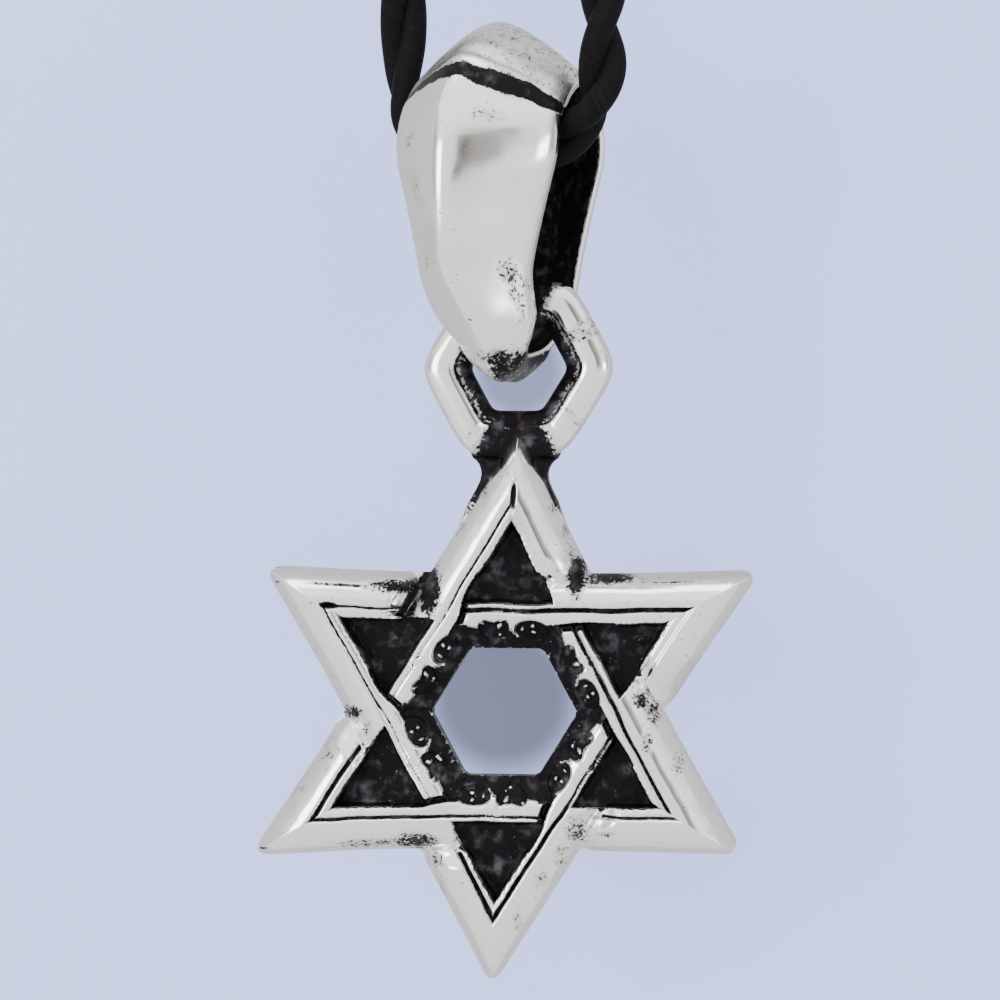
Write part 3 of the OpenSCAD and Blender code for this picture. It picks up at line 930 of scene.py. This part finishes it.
fine_fray = calc("MULTIPLY", calc("SUBTRACT", grain(6500, 6), 0.5), 1.5)
coarse_fray = calc("MULTIPLY", calc("SUBTRACT", grain(2300, 3), 0.5), 0.7)
fray = calc("ADD", black.outputs["Fac"], calc("ADD", fine_fray, coarse_fray))
mask = ramp(fray, 0.42, 0.68)
pits = ramp(grain(3800, 2, (0.6, 1, 1.5)), 0.715, 0.735)
marks = calc("MAXIMUM", mask, calc("MULTIPLY", pits, 0.8))
mottle = ramp(grain(1500, 7), 0.47, 0.8)
brown = ramp(grain(700, 3), 0.5, 0.65)
grey_oxide = blend(mottle, OXIDE_DARK, OXIDE_WORN)
brown_oxide = blend(mottle, OXIDE_DARK, OXIDE_BROWN)
oxide = blend(brown, grey_oxide, brown_oxide)
# A thin film round the black parts, and in faint patches elsewhere, dulls the silver
film = calc("MULTIPLY", ramp(calc("ADD", black.outputs["Fac"], coarse_fray), 0.15, 0.65), 0.5)
film = calc("MAXIMUM", film, calc("MULTIPLY", ramp(grain(260, 3), 0.5, 0.8), 0.28))
links.new(blend(marks, blend(film, SILVER, FILM), oxide), shader.inputs["Base Color"])
polish = calc("ADD", 0.1, calc("MULTIPLY", grain(900, 4), 0.12))
dulled = calc("MULTIPLY", ramp(black.outputs["Fac"], 0.1, 0.5), 0.3)
links.new(calc("ADD", polish, dulled), shader.inputs["Roughness"])
links.new(calc("SUBTRACT", 1.0, calc("MULTIPLY", marks, 0.55)), shader.inputs["Metallic"])
shader.inputs["Specular IOR Level"].default_value = 0.12
bump = add("ShaderNodeBump", Strength=0.35, Distance=0.05 * MM)
ground = calc("MULTIPLY", grain(5200, 4), calc("ADD", 0.1, calc("MULTIPLY", mask, 0.9)))
waves = calc("MULTIPLY", grain(420, 1), 3.0)
grounded = calc("SUBTRACT", ground, calc("MULTIPLY", pits, 0.6))
links.new(calc("ADD", waves, grounded), bump.inputs["Height"])
links.new(bump.outputs["Normal"], shader.inputs["Normal"])
for piece in (star, ring, neck, bail):
    piece.data.materials.append(silver)


# The stage: a pale floor well below the pendant, a pale blue backdrop behind it, and soft
# light from all round with a large softbox in front.
BACKDROP = (0.46, 0.53, 0.97, 1)
BACKDROP_GLOW = 0.87
SHADE = (0.112, 0.124, 0.19, 1)
SHADE_R = 3.0
CARD = (0.5, 0.5, 0.52, 1)
FLOOR = (0.8, 0.81, 0.85, 1)
BACKDROP_Y = 13 * MM
FLOOR_Z = -60 * MM


def stage_sheet(name, colour):
    """A plain square sheet of a matt colour, 2 m wide, that isn't part of the object."""
    sheet_mesh = bmesh.new()
    bmesh.ops.create_grid(sheet_mesh, x_segments=1, y_segments=1, size=1.0)
    mesh = bpy.data.meshes.new(name)
    sheet_mesh.to_mesh(mesh)
    sheet_mesh.free()
    sheet = bpy.data.objects.new(name, mesh)
    bpy.context.scene.collection.objects.link(sheet)
    finish = bpy.data.materials.new(name)
    finish.use_nodes = True
    matt = finish.node_tree.nodes["Principled BSDF"]
    matt.inputs["Base Color"].default_value = colour
    matt.inputs["Roughness"].default_value = 0.9
    matt.inputs["Specular IOR Level"].default_value = 0.1
    # Seen from behind, a sheet is clear
    geometry = finish.node_tree.nodes.new("ShaderNodeNewGeometry")
    seen = finish.node_tree.nodes.new("ShaderNodeMath")
    seen.operation = "SUBTRACT"
    seen.inputs[0].default_value = 1.0
    finish.node_tree.links.new(geometry.outputs["Backfacing"], seen.inputs[1])
    finish.node_tree.links.new(seen.outputs[0], matt.inputs["Alpha"])
    mesh.materials.append(finish)
    sheet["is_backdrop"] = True
    return sheet


floor = stage_sheet("pale_floor", FLOOR)
floor.location = (0, 0, FLOOR_Z)
backdrop = stage_sheet("pale_backdrop", BACKDROP)
backdrop.rotation_euler = (math.radians(90), 0, 0)
backdrop.location = (0, BACKDROP_Y, 0)
# Behind the two openings shade is painted on the backdrop, and to the silver it is a grey card
nodes = backdrop.active_material.node_tree.nodes
links = backdrop.active_material.node_tree.links
matt = nodes["Principled BSDF"]
seen_plainly = nodes.new("ShaderNodeLightPath").outputs["Is Camera Ray"]
on_paper = nodes.new("ShaderNodeTexCoord").outputs["Object"]
paper = BACKDROP
# Painted shadows: soft dark spots behind the star's hole and the ring's hole
for shade_x, shade_z, radius, strength in (
        (-0.9, STAR_Z - 0.2, SHADE_R, 1.0), (-0.1, RING_Z, 0.6 * SHADE_R, 0.85)):
    from_shade = nodes.new("ShaderNodeVectorMath")
    from_shade.operation = "DISTANCE"
    links.new(on_paper, from_shade.inputs[0])
    from_shade.inputs[1].default_value = (shade_x * MM, shade_z * MM, 0)
    shade = ramp(from_shade.outputs["Value"], radius * 2 * MM, radius * 0.9 * MM)
    paper = blend(calc("MULTIPLY", shade, strength), paper, SHADE)
links.new(blend(seen_plainly, CARD, paper), matt.inputs["Base Color"])
links.new(paper, matt.inputs["Emission Color"])
links.new(calc("MULTIPLY", seen_plainly, BACKDROP_GLOW), matt.inputs["Emission Strength"])

TENT_SIDE = (0.35, 0.35, 0.37, 1)
TENT_FRONT = (1.44, 1.44, 1.46, 1)
TENT_TOP = (1.9, 1.9, 1.9, 1)
TENT_SEAM = (0.1, 0.08, 0.07, 1)
TENT_SEAM_PALE = (0.5, 0.48, 0.47, 1)
world = bpy.data.worlds.new("soft_tent")
bpy.context.scene.world = world
world.use_nodes = True
# The tent is bright in front and darker round its sides, so that the silver has grey edges
nodes = world.node_tree.nodes
links = world.node_tree.links
direction = nodes.new("ShaderNodeTexCoord")
axes = nodes.new("ShaderNodeSeparateXYZ")
links.new(direction.outputs["Generated"], axes.inputs["Vector"])
front_share = ramp(axes.outputs["Y"], 0.08, -0.62)
top_share = ramp(axes.outputs["Z"], 0.25, 0.6)
# A grey opening in the tent shows on the faces that are turned a little to the right
seam = calc("MULTIPLY", ramp(axes.outputs["Z"], -0.04, 0.02), ramp(axes.outputs["Z"], 0.38, 0.34))
seam = calc("MULTIPLY", seam, ramp(axes.outputs["X"], 0.14, 0.18))
seam = calc("MULTIPLY", seam, ramp(axes.outputs["X"], 0.55, 0.48))
seam = calc("MULTIPLY", seam, ramp(axes.outputs["Y"], 0.0, -0.2))
opening = blend(ramp(axes.outputs["X"], 0.24, 0.36), TENT_SEAM, TENT_SEAM_PALE)
tent = blend(seam, blend(top_share, blend(front_share, TENT_SIDE, TENT_FRONT), TENT_TOP), opening)
links.new(tent, nodes["Background"].inputs["Color"])

for name, power, size, spot in (
    ("front_softbox", 1.8, 0.3, (-0.38, -0.45, 0.02)),
    ("side_softbox", 1.1, 0.25, (0.45, -0.32, -0.05)),
    ("top_softbox", 0.8, 0.3, (0, -0.1, 0.6)),
):
    lamp = bpy.data.lights.new(name, "AREA")
    lamp.energy = power
    lamp.size = size
    lamp.color = (1.0, 0.98, 0.95)
    holder = bpy.data.objects.new(name, lamp)
    bpy.context.scene.collection.objects.link(holder)
    holder.location = spot
    aim = Vector((0, 0, -0.02)) - Vector(spot)
    holder.rotation_euler = aim.to_track_quat("-Z", "Y").to_euler()

low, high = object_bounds()
